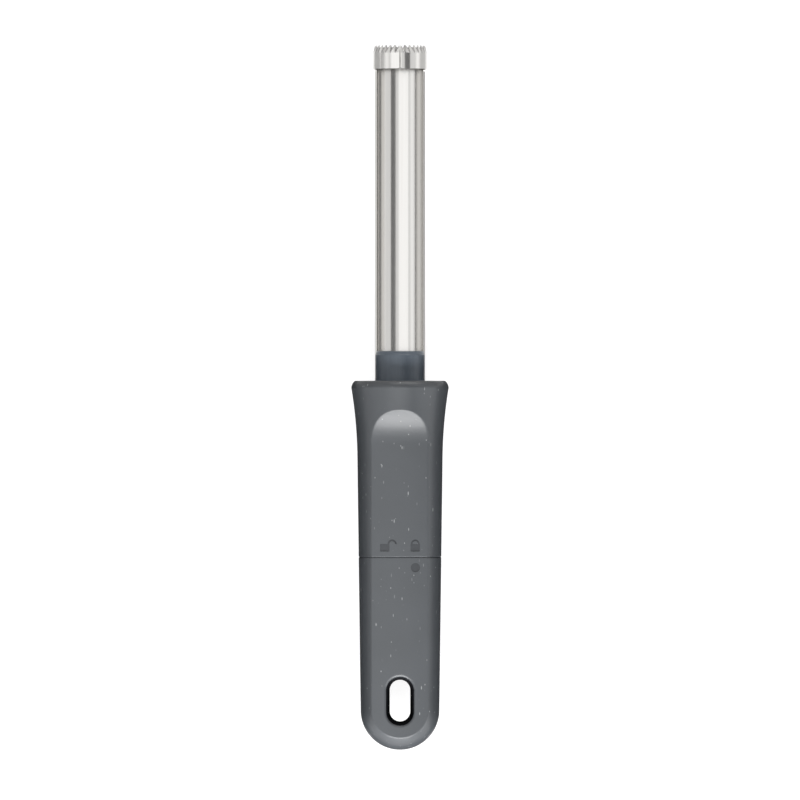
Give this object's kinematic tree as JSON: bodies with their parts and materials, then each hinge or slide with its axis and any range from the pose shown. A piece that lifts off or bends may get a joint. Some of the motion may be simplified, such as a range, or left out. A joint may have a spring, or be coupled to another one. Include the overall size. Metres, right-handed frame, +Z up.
{
  "type": "apple corer",
  "caption": "Kitchen corer with a serrated ring on an open trough blade, and a grip that twists to unlock and slides forward to push the core out.",
  "frame": {"origin": "centre of the corer's length and width, at the height of the surface that it lies on", "axes": "+Y along the tool towards the cutting ring, +Z up and out of the front panel, +X to the right as the front is seen with the ring at the top"},
  "size_m": [0.034, 0.245, 0.0339],
  "materials": {
    "stainless_blade": "fine satin, near polished",
    "rivet_steel": "plain",
    "grip_plastic": "satin moulded plastic with sparse pale fibre flecks",
    "insert_plastic": "plain moulded plastic",
    "plunger_plastic": "smooth moulded plastic"
  },
  "bodies": {
    "blade_unit": {"blade": "stainless_blade", "blade_carrier": "insert_plastic", "tang_rivets": "rivet_steel"},
    "lower_half": {"lower_handle": "grip_plastic", "lock_plate": "insert_plastic"},
    "upper_half": {"upper_handle": "grip_plastic", "hook_ring": "insert_plastic", "plunger": "plunger_plastic"}
  },
  "joints": [
    {"name": "unlock_twist", "type": "hinge", "parent": "blade_unit", "child": "lower_half", "pos_m": [0, -0.0555, 0.01695], "axis": [0, -1, 0], "range_deg": [0, 54]},
    {"name": "eject_slide", "type": "slide", "parent": "blade_unit", "child": "upper_half", "axis": [0, 1, 0], "range_m": [0, 0.1075]}
  ]
}
